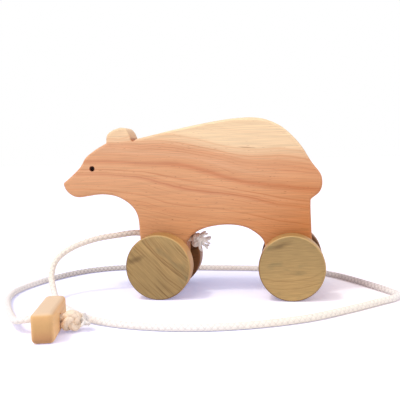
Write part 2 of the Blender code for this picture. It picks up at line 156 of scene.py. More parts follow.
# Distant lamps: the way they shine, their width in degrees and their strength
LAMPS = {
    "high_left_lamp": ((0.42, 0.30, -1.0), 8.0, 0.265),
    "broad_left_window": ((0.40, 0.50, -0.85), 55.0, 0.41),
    "broad_right_fill": ((-0.8, 0.25, -0.45), 80.0, 0.22),
}

# Route of the free cord in metres, from the chest to the handle; None is the floor's height
CORD_ROUTE = [
    (-0.0504, -0.0010, 0.0386), (-0.0660, -0.0050, 0.0364), (-0.0798, -0.0116, 0.0320),
    (-0.0886, -0.0188, 0.0254), (-0.0902, -0.0258, 0.0168), (-0.0856, -0.0344, 0.0080),
    (-0.0780, -0.0450, None), (-0.0640, -0.0606, None), (-0.0460, -0.0770, None),
    (-0.0200, -0.0868, None), (0.0120, -0.0890, None), (0.0440, -0.0824, None),
    (0.0740, -0.0684, None), (0.0990, -0.0486, None), (0.1170, -0.0322, None),
    (0.1266, -0.0234, None), (0.1304, -0.0148, None), (0.1268, -0.0056, None),
    (0.1150, 0.0142, None), (0.0980, 0.0388, None), (0.0780, 0.0540, None),
    (0.0460, 0.0630, None), (0.0080, 0.0656, None), (-0.0340, 0.0666, None),
    (-0.0660, 0.0656, None), (-0.0890, 0.0556, None), (-0.1050, 0.0376, None),
    (-0.1164, 0.0126, None), (-0.1212, -0.0120, None), (-0.1174, -0.0330, None),
    (-0.1086, -0.0516, None), (-0.0996, -0.0664, 0.0024), (-0.0914, -0.0790, 0.0032),
    (-0.0850, -0.0894, 0.0048), (-0.0794, -0.0966, 0.0066),
]


class WheelLook(NamedTuple):
    """How one wheel was cut from its log, how it has stained and worn, and the shade painted on its inner
    side.

    grain_degrees tilts its fibres, slide_mm is the disc's place in the log, and arching bends its
    bands and stain are the strengths of the dark bands and the grey-green smudges,
    and smudge_mm is the place of the largest smudge. tones darken or lighten the bottom and the
    top, polish is the share of warm colour on the tread, and the last field darkens the inner side
    with painted shade.
    """

    grain_degrees: float
    slide_mm: tuple
    arching: float
    bands: float
    stain: float
    smudge_mm: tuple
    tones: tuple = (1.0, 1.0)
    polish: float = 0.85
    inner_painted_shade: str = "ffffff"


WHEEL_LOOKS = {
    "front": {
        "left": WheelLook(-48.0, (9.0, 4.0, -8.0), -0.004, 1.0, 0.6, (-15.0, 0.0, 5.0),
                          tones=(0.86, 1.06)),
        "right": WheelLook(-15.0, (40.0, 9.0, -3.0), -0.004, 0.9, 0.4, (6.0, 0.0, 3.0),
                           inner_painted_shade="ba9a80"),
    },
    "rear": {
        "left": WheelLook(2.0, (5.0, 33.0, -27.0), -0.006, 0.45, 0.7, (-7.0, 0.0, 14.4),
                          tones=(1.14, 0.94), polish=0.45),
        "right": WheelLook(70.0, (11.0, -8.0, 30.0), -0.004, 0.9, 0.3, (-4.0, 0.0, -5.0),
                           inner_painted_shade="a48a7c"),
    },
}


def linear(code):
    """An sRGB hex value such as "e5a880" as a linear colour with alpha 1."""
    parts = [int(code[index:index + 2], 16) / 255.0 for index in (0, 2, 4)]
    return tuple(p / 12.92 if p <= 0.04045 else ((p + 0.055) / 1.055) ** 2.4 for p in parts) + (1.0,)


def length_property(name, description, default_mm):
    """A length that the user may change, given here in millimetres."""
    return bpy.props.FloatProperty(name=name, description=description, default=default_mm * MM,
                                   min=0.0, subtype="DISTANCE", unit="LENGTH", precision=5)


def colour_property(name, description, code):
    """A colour that the user may change, given here as an sRGB hex value."""
    return bpy.props.FloatVectorProperty(name=name, description=description, default=linear(code),
                                         size=4, min=0.0, max=1.0, subtype="COLOR")


class ToySizes(bpy.types.PropertyGroup):
    """Sizes of the toy's pieces."""

    cord_diameter: length_property("Cord Diameter", "Diameter of the braided cord", 4.0)
    braid_pick: length_property("Braid Pick", "Length of one stitch of the braid along the cord", 3.4)
    knot_cord: length_property("Knotted Cord", "Diameter of the cord where a knot squeezes it", 3.7)
    yarn_diameter: length_property("Yarn Diameter", "Diameter of one loose strand of a frayed end", 1.65)
    wheel_edge: length_property("Wheel Edge", "Radius of the wheels' rounded edges", 1.2)
    handle_edge: length_property("Handle Edge", "Radius of the handle's rounded edges", 2.6)


class ToyColours(bpy.types.PropertyGroup):
    """Colours of the toy's woods and cotton."""

    heartwood: colour_property("Heartwood", "Cherry heartwood of the bear", "e2a87a")
    low_heartwood: colour_property("Low Heartwood", "Cherry heartwood of the legs", "da9a64")
    streak: colour_property("Streak", "Growth streaks of the cherry", "c97b52")
    sapwood: colour_property("Sapwood", "Cherry sapwood along the back", "fadcb0")
    wheel_wood: colour_property("Wheel Wood", "Poplar heartwood of the wheels", "b0925e")
    wheel_band: colour_property("Wheel Bands", "Dark growth bands of the wheels", "87693f")
    wheel_rim: colour_property("Wheel Rim", "Sanded rim of the wheels", "dba867")
    handle_wood: colour_property("Handle Wood", "Cherry sapwood of the handle", "fccd90")
    axle_wood: colour_property("Axle Wood", "Birch dowel of the axles", "e3c79c")
    cotton: colour_property("Cotton", "Unbleached cotton of the cord", "fffaf3")
    floor: colour_property("Floor", "Matt paper under the toy", "f4f2f5")


def sizes():
    """The toy's sizes in the scene."""
    return bpy.context.scene.toy_sizes


def colours():
    """The toy's colours in the scene."""
    return bpy.context.scene.toy_colours


# Node trees

# Settings of a node that mixes two colours, and of one that multiplies them
BLEND = {"data_type": "RGBA"}
MULTIPLY = {"data_type": "RGBA", "blend_type": "MULTIPLY"}


def add_node(tree, kind, *inputs, stops=None, **settings):
    """Add a shader node with its settings, its inputs and a ramp's stops.

    The inputs fill the sockets that the node shows, in their order: a value, a socket, or a node,
    which gives its first output. None leaves a socket as it is.
    """
    item = tree.nodes.new("ShaderNode" + kind)
    for name, value in settings.items():
        setattr(item, name, value)
    shown = [socket for socket in item.inputs if socket.enabled]
    for socket, value in zip(shown, inputs):
        if isinstance(value, bpy.types.Node):
            value = next(output for output in value.outputs if output.enabled)
        if isinstance(value, bpy.types.NodeSocket):
            tree.links.new(value, socket)
        elif value is not None:
            socket.default_value = value
    if stops:
        elements = item.color_ramp.elements
        while len(elements) > 1:
            elements.remove(elements[-1])
        elements[0].position, elements[0].color = stops[0]
        for position, colour in stops[1:]:
            elements.new(position).color = colour
    return item


def new_material(name):
    """An empty material: its tree, its shader and nothing else."""
    material = bpy.data.materials.new(name)
    material.use_nodes = True
    tree = material.node_tree
    tree.nodes.clear()
    shader = add_node(tree, "BsdfPrincipled")
    add_node(tree, "OutputMaterial", shader)
    return material, tree, shader


def set_shader(tree, shader, colour, relief, values, bump_strength, bump_metres=0.2 * MM):
    """Link the colour and the relief to a shader, and set its other sockets."""
    tree.links.new(colour.outputs[2], shader.inputs["Base Color"])
    bump = add_node(tree, "Bump", bump_strength, bump_metres, None, relief)
    tree.links.new(bump.outputs[0], shader.inputs["Normal"])
    for name, value in values.items():
        shader.inputs[name].default_value = value


def shade(colour, factor):
    """A darker or lighter tone of a linear colour."""
    return tuple(min(1.0, channel * factor) for channel in colour[:3]) + (1.0,)


def blend(first, second, share):
    """A colour between two linear colours."""
    return tuple(a + (b - a) * share for a, b in zip(first[:3], second[:3])) + (1.0,)


def linear_stops(*stops):
    """A ramp's stops from places and sRGB hex values."""
    return [(place, linear(code)) for place, code in stops]


def millimetres(tree, coords, centre_mm=(0.0, 0.0, 0.0)):
    """Object coordinates in millimetres, counted from a centre."""
    return add_node(tree, "Mapping", coords["Object"], [-value for value in centre_mm], None,
                    (1.0 / MM,) * 3)


def grain_lines(tree, place_mm, long_mm, across_mm, detail=3.0):
    """Noise stretched along X, with streaks so long and so far apart, in millimetres."""
    stretch = (1.0 / long_mm, 1.0 / across_mm, 1.0 / across_mm)
    squeezed = add_node(tree, "Mapping", place_mm, None, None, stretch)
    return add_node(tree, "TexNoise", squeezed, 1.0, detail, 0.55)


def oiled_fibres(tree, shader, place_mm, colour, long_mm, across_mm, tones, rough):
    """Fine fibres over a wood's colour, between two tones, which also vary its gloss."""
    fibre = grain_lines(tree, place_mm, long_mm, across_mm)
    tone = add_node(tree, "MapRange", fibre, 0.3, 0.7, *tones)
    gloss = add_node(tree, "MapRange", fibre, 0.0, 1.0, *rough)
    tree.links.new(gloss.outputs[0], shader.inputs["Roughness"])
    return fibre, add_node(tree, "Mix", 1.0, colour, tone, **MULTIPLY)


def end_grain(tree, coords, fibre_way, least, most, share):
    """How much of a face's end grain shows, from how far the face looks along the fibres."""
    end = add_node(tree, "VectorMath", coords["Normal"], fibre_way, operation="DOT_PRODUCT")
    end = add_node(tree, "Math", end, operation="ABSOLUTE")
    return add_node(tree, "MapRange", end, least, most, 0.0, share)


def cherry_material():
    """Oiled black cherry, sawn and hand sanded.

    It gives pinkish orange heartwood with reddish growth streaks that dip towards the tail, a
    cream band of sapwood along the back, fine fibres and short dark gum flecks, and a satin skin.
    """
    material, tree, shader = new_material("oiled_black_cherry")
    add = partial(add_node, tree)
    tone = colours()
    coords = add("TexCoord").outputs
    place = millimetres(tree, coords)
    x, y, z = add("SeparateXYZ", place).outputs
    # The grain's flow: its lines fall about 25 mm from nose to tail, steepest at mid length and
    # less along the back, where the sapwood also wraps the ear
    turn = add("Math", x, 0.0165, -0.198, operation="MULTIPLY_ADD")
    wave = add("Math", turn, operation="SINE")
    swing = add("MapRange", z, 80.0, 90.0, 13.8, 9.2)
    fall = add("Math", wave, swing, 6.5, operation="MULTIPLY_ADD")
    height = add("Math", z, fall, operation="ADD")
    slant = add("Math", y, 0.34, height, operation="MULTIPLY_ADD")
    head = add("MapRange", x, -36.0, -46.0, 0.0, 4.0)
    above = add("MapRange", z, 99.6, 102.4)
    wrapped = add("Math", head, above, slant, operation="MULTIPLY_ADD")
    # Between the two main streaks the growth lines swell at the shoulder and close at the flank
    across = add("Math", wrapped, 0.25, -19.4, operation="MULTIPLY_ADD")
    side = add("Math", across, operation="TANH")
    swell = add("MapRange", x, -31.0, 59.0, -math.pi, math.pi)
    swell = add("Math", swell, operation="SINE")
    swell = add("Math", swell, side, operation="MULTIPLY")
    lens = add("Math", swell, 1.7, wrapped, operation="MULTIPLY_ADD")
    # Broad and small meanders of the growth rings
    broad = grain_lines(tree, place, 90.0, 28.0, 1.0)
    bent = add("Math", broad, 4.0, lens, operation="MULTIPLY_ADD")
    small = grain_lines(tree, place, 26.0, 9.0, 2.0)
    ring = add("Math", small, 2.6, bent, operation="MULTIPLY_ADD")
    ring = add("Math", ring, 3.3, operation="SUBTRACT")
    # The wood's colour by the ring's height on the plank, from 0 to 125 mm
    share = add("Math", ring, 1.0 / 125.0, operation="MULTIPLY")
    heart, low = tuple(tone.heartwood), tuple(tone.low_heartwood)
    streak, sap = tuple(tone.streak), tuple(tone.sapwood)
    stops = [
        (0.12, linear("d4935a")), (0.26, low), (0.40, blend(low, heart, 0.3)),
        (0.52, blend(low, heart, 0.75)), (0.562, heart), (0.573, blend(heart, streak, 0.7)),
        (0.586, heart), (0.65, heart), (0.672, blend(heart, streak, 0.62)), (0.70, heart),
        (0.73, linear("e6b186")), (0.772, linear("e3a87c")), (0.81, blend(heart, sap, 0.6)),
        (0.85, sap),
    ]
    body = add("ValToRGB", share, stops=stops)
    # Towards the rear leg the heartwood is a deeper orange
    rear = add("MapRange", x, 20.0, 75.0)
    down = add("MapRange", z, 104.0, 36.0, 0.0, 0.95)
    deep = add("Math", rear, down, operation="MULTIPLY")
    body = add("Mix", deep, body, linear("ce8243"), **BLEND)
    # Towards the head it is a little paler
    ahead = add("MapRange", x, 0.0, -45.0, 0.0, 0.25)
    body = add("Mix", ahead, body, linear("ebb98f"), **BLEND)
    # Irregular growth rings, 1 to 3 mm apart, paler in the sapwood
    rings = add("TexNoise", ring, 0.7, 3.0, noise_dimensions="1D")
    strength = add("MapRange", share, 0.79, 0.85, 0.75, 0.3)
    ring_mask = add("MapRange", rings, 0.45, 0.75, 0.0, strength)
    ringed = add("Mix", ring_mask, body, linear("f5e7dd"), **MULTIPLY)
    # Thin reddish lines about 1 mm apart that come and go along the flow
    thin = add("TexNoise", ring, 0.95, 1.0, noise_dimensions="1D")
    patch = grain_lines(tree, place, 70.0, 9.0, 1.0)
    fade = add("MapRange", patch, 0.42, 0.6, 0.12, 0.75)
    fade = add("Math", fade, strength, operation="MULTIPLY")
    thin_mask = add("MapRange", thin, 0.55, 0.66, 0.0, fade)
    ringed = add("Mix", thin_mask, ringed, linear("ecd4c5"), **MULTIPLY)
    # Fibres about 0.5 mm across; drawn a little coarser than real cherry fibres
    fibre, grained = oiled_fibres(tree, shader, place, ringed, 26.0, 0.55, (0.87, 1.09), (0.44, 0.6))
    # Gum flecks: dashes 0.4 mm high and 3 to 6 mm long
    fleck = grain_lines(tree, place, 3.4, 0.42, 1.0)
    fleck_mask = add("MapRange", fleck, 0.70, 0.80, 0.0, strength)
    flecked = add("Mix", fleck_mask, grained, linear("9a5a33"), **BLEND)
    # One dark gum line near the sapwood's edge
    spot = add("CombineXYZ", x, ring)
    (at_x, at_ring), (half_long, half_high) = GUM_LINE_MM
    dash = add("Mapping", spot, (-at_x / half_long, -at_ring / half_high, 0.0), None,
               (1.0 / half_long, 1.0 / half_high, 1.0))
    far = add("VectorMath", dash, operation="LENGTH")
    dash_mask = add("MapRange", far, 1.0, 0.3, 0.0, 0.6)
    flecked = add("Mix", dash_mask, flecked, linear("9a5a33"), **BLEND)
    # End grain at the nose and the rump drinks more oil and looks darker
    end_mask = end_grain(tree, coords, (1.0, 0.0, 0.0), 0.5, 1.0, 0.35)
    ended = add("Mix", end_mask, flecked, linear("b9713f"), **BLEND)
    # Painted shade in the notch behind the ear, on its sawn faces, together with some darker torn grain
    flat = add("VectorMath", place, (1.0, 0.0, 1.0), operation="MULTIPLY")
    away = add("VectorMath", flat, NOTCH_MM, operation="DISTANCE")
    near = add("MapRange", away, 2.4, 0.9)
    side = add("SeparateXYZ", coords["Normal"]).outputs[1]
    side = add("Math", side, operation="ABSOLUTE")
    side = add("MapRange", side, 0.97, 0.7)
    notch_shade = add("Math", near, side, operation="MULTIPLY")
    ended = add("Mix", notch_shade, ended, linear("bf9069"), **MULTIPLY)
    # The eye's drilled hole is charred, and its rim is browned
    away = add("VectorMath", flat, EYE_MM, operation="DISTANCE")
    char = add("MapRange", away, 1.62, 2.05, 1.0, 0.0)
    charred = add("Mix", char, ended, linear("6e1a0a"), **BLEND)
    set_shader(tree, shader, charred, fibre, OILED, bump_strength=0.12)
    return material


def poplar_material(name, centre_mm, look):
    """Oiled poplar heartwood, cut by a hole saw and sanded.

    It gives a dull olive brown with long fibres across the disc's face, darker bands that
    differ from wheel to wheel, green-grey mineral smudges and a warmer, more polished rim.
    """
    material, tree, shader = new_material(name)
    add = partial(add_node, tree)
    tone = colours()
    wood, band, rim = tuple(tone.wheel_wood), tuple(tone.wheel_band), tuple(tone.wheel_rim)
    coords = add("TexCoord").outputs
    lie = math.radians(look.grain_degrees)
    hub = millimetres(tree, coords, centre_mm)
    place = add("Mapping", hub, look.slide_mm, (0.0, lie, 0.0))
    x, y, z = add("SeparateXYZ", place).outputs
    bend = add("Math", x, 2.0, operation="POWER")
    arch = add("Math", bend, look.arching, z, operation="MULTIPLY_ADD")
    slant = add("Math", y, 0.5, arch, operation="MULTIPLY_ADD")
    broad = grain_lines(tree, place, 42.0, 15.0, 1.0)
    bent = add("Math", broad, 8.0, slant, operation="MULTIPLY_ADD")
    small = grain_lines(tree, place, 14.0, 5.0, 2.0)
    ring = add("Math", small, 1.4, bent, operation="MULTIPLY_ADD")
    rings = add("TexNoise", ring, 0.3, 3.0, 0.6, noise_dimensions="1D")
    # The bands come and go across the disc
    patch = grain_lines(tree, place, 30.0, 16.0, 1.0)
    strength = add("MapRange", patch, 0.4, 0.58, 0.2 * look.bands, look.bands)
    ring_mask = add("MapRange", rings, 0.42, 0.72, 0.0, strength)
    ringed = add("Mix", ring_mask, wood, band, **BLEND)
    light = add("MapRange", broad, 0.45, 0.75, 0.0, 0.45)
    lit = add("Mix", light, ringed, linear("c7a066"), **BLEND)
    # Thin dark lines about 1.5 mm apart where the bands are strong
    thin = add("TexNoise", ring, 0.6, 2.0, noise_dimensions="1D")
    thin_mask = add("MapRange", thin, 0.53, 0.68, 0.0, strength)
    lit = add("Mix", thin_mask, lit, linear("ddd4cb"), **MULTIPLY)
    # Some discs are darker towards the bottom, others towards the top
    heights = add("SeparateXYZ", hub).outputs
    depth = add("MapRange", heights[2], -18.0, 18.0, *look.tones)
    lit = add("Mix", 1.0, lit, depth, **MULTIPLY)
    # Mineral stain: soft grey-green smudges 6 to 12 mm across
    stain = grain_lines(tree, place, 22.0, 7.0)
    stain_mask = add("MapRange", stain, 0.56, 0.72, 0.0, look.stain)
    stained = add("Mix", stain_mask, lit, linear("7c7450"), **BLEND)
    # One larger mineral smudge, about 15 mm long and 4 mm high, tilted by 20 degrees
    spot = add("Mapping", hub, look.smudge_mm, (0.0, math.radians(-20.0), 0.0),
               (7.5, 1000.0, 2.2), vector_type="TEXTURE")
    reach = add("VectorMath", spot, operation="LENGTH")
    ragged = add("Math", small, 1.6, reach, operation="MULTIPLY_ADD")
    spot_mask = add("MapRange", ragged, 1.9, 1.1, 0.0, 0.62)
    stained = add("Mix", spot_mask, stained, linear("6e5634"), **BLEND)
    # Fibres about 0.5 mm across; drawn coarser than real poplar fibres so that they show
    fibre, grained = oiled_fibres(tree, shader, place, stained, 11.0, 0.5, (0.8, 1.13), (0.4, 0.58))
    # Painted light on the rounded edge: a painted highlight on its upper right side and painted shade on
    # its lower left side
    normal = coords["Normal"]
    facing = add("SeparateXYZ", normal).outputs
    flat = add("Math", facing[1], operation="ABSOLUTE")
    edge_mask = add("MapRange", flat, 0.98, 0.78, 0.0, 0.8)
    edge_light_side = add("VectorMath", normal, (0.6, 0.0, 0.8), operation="DOT_PRODUCT")
    edge_light_side = add("MapRange", edge_light_side, -0.16, 0.2)
    edge = add("Mix", edge_light_side, linear("5c432b"), linear("d2ae72"), **BLEND)
    edged = add("Mix", edge_mask, grained, edge, **BLEND)
    # The tread is warmer where sanding has eased it
    rim_mask = add("MapRange", flat, 0.75, 0.2, 0.0, look.polish)
    rimmed = add("Mix", rim_mask, edged, rim, **BLEND)
    # Painted shade on the top of the tread, which lies under the body
    crown = add("MapRange", facing[2], 0.62, 0.97)
    rimmed = add("Mix", crown, rimmed, linear("c7c2b6"), **MULTIPLY)
    # It is darker where it cuts the end grain
    end_mask = end_grain(tree, coords, (math.cos(lie), 0.0, math.sin(lie)), 0.35, 0.95, 0.36)
    ended = add("Mix", end_mask, rimmed, linear("8f6231"), **BLEND)
    # Painted shade on the inner sides of the far pair, which lie in the toy's own shade
    inner = add("MapRange", heights[1], 6.4, -3.0)
    shaded = add("Mix", inner, ended, linear(look.inner_painted_shade), **MULTIPLY)
    set_shader(tree, shader, shaded, fibre, OILED, bump_strength=0.18)
    return material


def plain_wood_material(name, wood, centre_mm, turn_degrees, height_mm, streak_share, painted_top_light):
    """Oiled pale wood with straight grain along the piece's own Y.

    It gives a cream to honey colour with faint long streaks and a satin skin. Its last argument is
    the share of paler cream painted on its top as light from above.
    """
    material, tree, shader = new_material(name)
    add = partial(add_node, tree)
    coords = add("TexCoord").outputs
    hub = millimetres(tree, coords, centre_mm)
    place = add("Mapping", hub, None, (0.0, 0.0, math.radians(90.0 - turn_degrees)))
    broad = grain_lines(tree, place, 40.0, 4.0, 2.0)
    mask = add("MapRange", broad, 0.4, 0.7, 0.0, streak_share)
    toned = add("Mix", mask, wood, shade(wood, 0.72), **BLEND)
    fibre, grained = oiled_fibres(tree, shader, place, toned, 12.0, 0.5, (0.9, 1.07), (0.42, 0.58))
    # End grain, across the piece's own Y, is a deeper honey
    lie = math.radians(turn_degrees)
    end_mask = end_grain(tree, coords, (-math.sin(lie), math.cos(lie), 0.0), 0.3, 0.95, 0.8)
    height = add("SeparateXYZ", hub).outputs[2]
    rise = add("MapRange", height, -0.5 * height_mm, 0.5 * height_mm)
    # Painted shade: the end grain darkens towards the floor
    honey = add("ValToRGB", rise, stops=linear_stops(
        (0.03, "7e553a"), (0.12, "a8754f"), (0.24, "bb8657"), (0.46, "cb9c64"), (0.6, "d2a469"),
        (0.82, "e1b175")))
    ended = add("Mix", end_mask, grained, honey, **BLEND)
    # Painted light: the top is a paler, pinker cream where light from above falls on it
    top = add("SeparateXYZ", coords["Normal"]).outputs[2]
    top_mask = add("MapRange", top, 0.4, 0.9, 0.0, painted_top_light)
    topped = add("Mix", top_mask, ended, linear("e6cbab"), **BLEND)
    set_shader(tree, shader, topped, fibre, OILED, bump_strength=0.15)
    return material


def cotton_braid_material():
    """Unbleached cotton, braided from six strands of soft yarn.

    It gives a matt off-white with shaded gaps between its stitches, three yarns along each
    stitch and a soft sheen. The UV's U is the turn round the cord and V its length in metres.
    """
    material, tree, shader = new_material("braided_unbleached_cotton")
    add = partial(add_node, tree)
    cotton = tuple(colours().cotton)
    coords = add("TexCoord").outputs
    turn, metres, _ = add("SeparateXYZ", coords["UV"]).outputs
    around = add("Math", turn, STRANDS, operation="MULTIPLY")
    along = add("Math", metres, 1.0 / sizes().braid_pick, operation="MULTIPLY")
    wholes, parts, crowns = [], [], []
    for way in ("SUBTRACT", "ADD"):
        lead = add("Math", around, along, operation=way)
        wholes.append(add("Math", lead, operation="FLOOR"))
        parts.append(add("Math", lead, wholes[-1], operation="SUBTRACT"))
        swell = add("Math", parts[-1], math.pi, operation="MULTIPLY")
        crowns.append(add("Math", swell, operation="SINE"))
    over = add("Math", *wholes, operation="ADD")
    over = add("Math", over, 2.0, operation="FLOORED_MODULO")
    across = add("Mix", over, *parts)
    crown = add("Math", *crowns, operation="MULTIPLY")
    yarn = add("Math", across, 3.0 * math.pi, operation="MULTIPLY")
    yarn = add("Math", yarn, operation="SINE")
    yarn = add("Math", yarn, operation="ABSOLUTE")
    gap = add("MapRange", crown, 0.0, 0.35, 0.4, 0.0, interpolation_type="SMOOTHSTEP")
    lint = add("TexNoise", coords["Object"], 900.0, 3.0)
    lint_tone = add("MapRange", lint, 0.3, 0.7, 0.94, 1.05)
    linted = add("Mix", 1.0, cotton, lint_tone, **MULTIPLY)
    gapped = add("Mix", gap, linted, shade(cotton, 0.66), **BLEND)
    # Painted light and shade along the cord's length, with some real dust: it is darker at the chest,
    # greyer on the stretches behind the toy, whiter in front and under the belly, faintly yellower where
    # it hangs, and warmer at the handle's knot, a painted reflection of the handle
    length = add("Math", metres, 1.0 / HANDLE_KNOT_START, operation="MULTIPLY")
    wear_and_painted_shade = add("ValToRGB", length, stops=linear_stops(
        (0.0, "ddd4ce"), (0.03, "f6efe6"), (0.06, "fffbf2"), (0.1, "fffbf2"), (0.125, "ffffff"),
        (0.26, "ffffff"), (0.31, "fffcf2"), (0.40, "fffcf2"), (0.43, "ffffff"), (0.465, "dbd1d3"),
        (0.54, "f1ebea"), (0.575, "ffffff"), (0.63, "ffffff"), (0.65, "f1ebea"), (0.70, "dedddf"),
        (0.78, "dedddf"), (0.815, "ffffff"), (0.972, "ffffff"), (1.0, "fff0dc")))
    worn = add("Mix", 1.0, gapped, wear_and_painted_shade, **MULTIPLY)
    # On the greyer stretches the braid's gaps are darker too: dust, and more painted shade
    shares = [(0.0, 1.0), (0.06, 0.0), (0.43, 0.0), (0.46, 1.0), (0.5, 0.5), (0.55, 0.5), (0.575, 0.0),
              (0.63, 0.0), (0.65, 0.5), (0.70, 1.0), (0.78, 1.0), (0.815, 0.0)]
    dust_and_shade_share = add("ValToRGB", length,
               stops=[(place, (share, share, share, 1.0)) for place, share in shares])
    fold = add("MapRange", crown, 0.0, 0.6, 0.34, 0.0, interpolation_type="SMOOTHSTEP")
    gap_dust_and_shade = add("Math", fold, dust_and_shade_share, operation="MULTIPLY")
    worn = add("Mix", gap_dust_and_shade, worn, linear("b5acac"), **MULTIPLY)
    rise = add("Math", yarn, 0.22, crown, operation="MULTIPLY_ADD")
    set_shader(tree, shader, worn, rise, {"Roughness": 0.92, **SOFT}, bump_strength=0.6,
               bump_metres=0.25 * MM)
    return material


def loose_yarn_material():
    """Untwisted cotton yarn of the frayed ends: matt off-white, with fine twist lines of painted shade in
    the grooves between its plies.
    """
    material, tree, shader = new_material("frayed_cotton_yarn")
    add = partial(add_node, tree)
    cotton = tuple(colours().cotton)
    coords = add("TexCoord").outputs
    turn, metres, _ = add("SeparateXYZ", coords["UV"]).outputs
    lay = add("Math", metres, -1.0 / PLY_TWIST, turn, operation="MULTIPLY_ADD")
    line = add("Math", lay, 3.0 * math.pi, operation="MULTIPLY")
    line = add("Math", line, operation="COSINE")
    line = add("Math", line, operation="ABSOLUTE")
    # Painted shade: the yarn darkens along the grooves between its three plies
    tone = add("MapRange", line, 0.0, 1.0, 0.7, 1.0)
    toned = add("Mix", 1.0, cotton, tone, **MULTIPLY)
    set_shader(tree, shader, toned, line, {"Roughness": 0.94, **SOFT}, bump_strength=0.5,
               bump_metres=0.1 * MM)
    return material


def material_once(name, make):
    """The material of that name, made on first use."""
    return bpy.data.materials.get(name) or make()


# Lines and tubes


def spline_point(before, start, end, after, share):
    """A point on the Catmull-Rom curve from start to end."""
    cubic = 3.0 * (start - end) + after - before
    square = 2.0 * before - 5.0 * start + 4.0 * end - after
    slope = end - before
    return 0.5 * (2.0 * start + slope * share + square * share ** 2 + cubic * share ** 3)


def smooth_run(points, per_span=SPAN_STEPS):
    """A fine smooth curve through the points."""
    points = [Vector(point) for point in points]
    padded = [2.0 * points[0] - points[1]] + points + [2.0 * points[-1] - points[-2]]
    run = []
    for index in range(len(points) - 1):
        for step in range(per_span):
            run.append(spline_point(*padded[index:index + 4], step / per_span))
    run.append(points[-1])
    return run


def even_line(run, step):
    """Points at even distances along a run, as an array, and their distances from its start."""
    run = np.array(run, float)
    along = np.concatenate([[0.0], np.cumsum(np.linalg.norm(np.diff(run, axis=0), axis=1))])
    count = max(3, math.ceil(along[-1] / step) + 1)
    at = np.linspace(0.0, along[-1], count)
    return np.stack([np.interp(at, along, run[:, axis]) for axis in range(3)], axis=1), at


def frames_along(line):
    """Two directions square to a line at each of its points, which turn no more than it does."""
    tangents = np.gradient(line, axis=0)
    tangents /= np.linalg.norm(tangents, axis=1)[:, None]
    up = Vector((0.0, 0.0, 1.0))
    first = Vector(tangents[0])
    if abs(first.dot(up)) > 0.9:
        up = Vector((1.0, 0.0, 0.0))
    side = first.cross(up).normalized()
    sides = []
    previous = first
    for tangent in tangents:
        tangent = Vector(tangent)
        turn = previous.rotation_difference(tangent)
        side = turn @ side
        side = (side - tangent * side.dot(tangent)).normalized()
        sides.append(side)
        previous = tangent
    sides = np.array(sides)
    return sides, np.cross(tangents, sides)


def tube_shell(line, along, sides_count, reach):
    """A closed tube round a line: its points, faces and the UV of each face's corners.

    reach holds one radius for every point of every ring.
    """
    side, up = frames_along(line)
    angle = np.arange(sides_count) * math.tau / sides_count
    ring = (side[:, None, :] * np.cos(angle)[None, :, None] + up[:, None, :] * np.sin(angle)[None, :, None])
    points = (line[:, None, :] + ring * reach[:, :, None]).reshape(-1, 3)
    points = np.vstack([points, line[0], line[-1]])
    rings = len(line)
    faces, corners = [], []
    for index in range(rings - 1):
        low, high = along[index], along[index + 1]
        for spoke in range(sides_count):
            after = (spoke + 1) % sides_count
            a, b = index * sides_count + spoke, index * sides_count + after
            faces.append((a, b, b + sides_count, a + sides_count))
            u, v = spoke / sides_count, (spoke + 1) / sides_count
            corners += [(u, low), (v, low), (v, high), (u, high)]
    for spoke in range(sides_count):
        after = (spoke + 1) % sides_count
        last = (rings - 1) * sides_count
        faces.append((after, spoke, rings * sides_count))
        faces.append((last + spoke, last + after, rings * sides_count + 1))
        u, v = spoke / sides_count, (spoke + 1) / sides_count
        corners += [(v, along[0]), (u, along[0]), (u, along[0])]
        corners += [(u, along[-1]), (v, along[-1]), (v, along[-1])]
    return points, faces, corners


def braid_reach(along, radii):
    """Radii of a braid whose strands, as many each way, pass over and under each other."""
    turn = np.arange(CORD_SIDES)[None, :] / CORD_SIDES * STRANDS
    run = (along / sizes().braid_pick)[:, None]
    right, left = turn - run, turn + run
    heights = []
    for lead, other, sign in ((right, left, 1.0), (left, right, -1.0)):
        strand = np.floor(lead)
        part = lead - strand
        # The strand's round back, lifted where it passes over and lowered where it passes under
        back = np.sqrt(np.maximum(0.0, 1.0 - (2.0 * part - 1.0) ** 2))
        lift = sign * np.sin(math.pi * other) * np.where(strand % 2 == 0, 1.0, -1.0)
        heights.append(0.62 * back + 0.38 * lift)
    relief = np.maximum(heights[0], heights[1])
    return radii[:, None] * (0.92 + 0.1 * relief)


def add_object(name, data):
    """A new object in the scene, at the origin."""
    item = bpy.data.objects.new(name, data)
    bpy.context.scene.collection.objects.link(item)
    return item


def add_soft_mesh(name, shells, materials):
    """One object from tube shells; each shell is (points, faces, corners, material index)."""
    points, faces, corners, kinds = [], [], [], []
    start = 0
    for shell_points, shell_faces, shell_corners, kind in shells:
        points.append(shell_points)
        faces += [tuple(index + start for index in face) for face in shell_faces]
        corners += shell_corners
        kinds += [kind] * len(shell_faces)
        start += len(shell_points)
    mesh = bpy.data.meshes.new(name)
    mesh.from_pydata(np.vstack(points).tolist(), [], faces)
    layer = mesh.uv_layers.new(name="UVMap")
    layer.data.foreach_set("uv", np.array(corners, np.float32).ravel())
    mesh.polygons.foreach_set("material_index", kinds)
    for material in materials:
        mesh.materials.append(material)
    mesh.shade_smooth()
    mesh.update()
    return add_object(name, mesh)


def handle_side(share):
    """A point on the handle's bore axis: -1 is the mouth on its cord side, +1 on its knot side."""
    reach = share * HANDLE_MM[0] * MM / 2.0
    return HANDLE_PLACE + Matrix.Rotation(HANDLE_TURN, 3, "Z") @ Vector((reach, 0.0, 0.0))


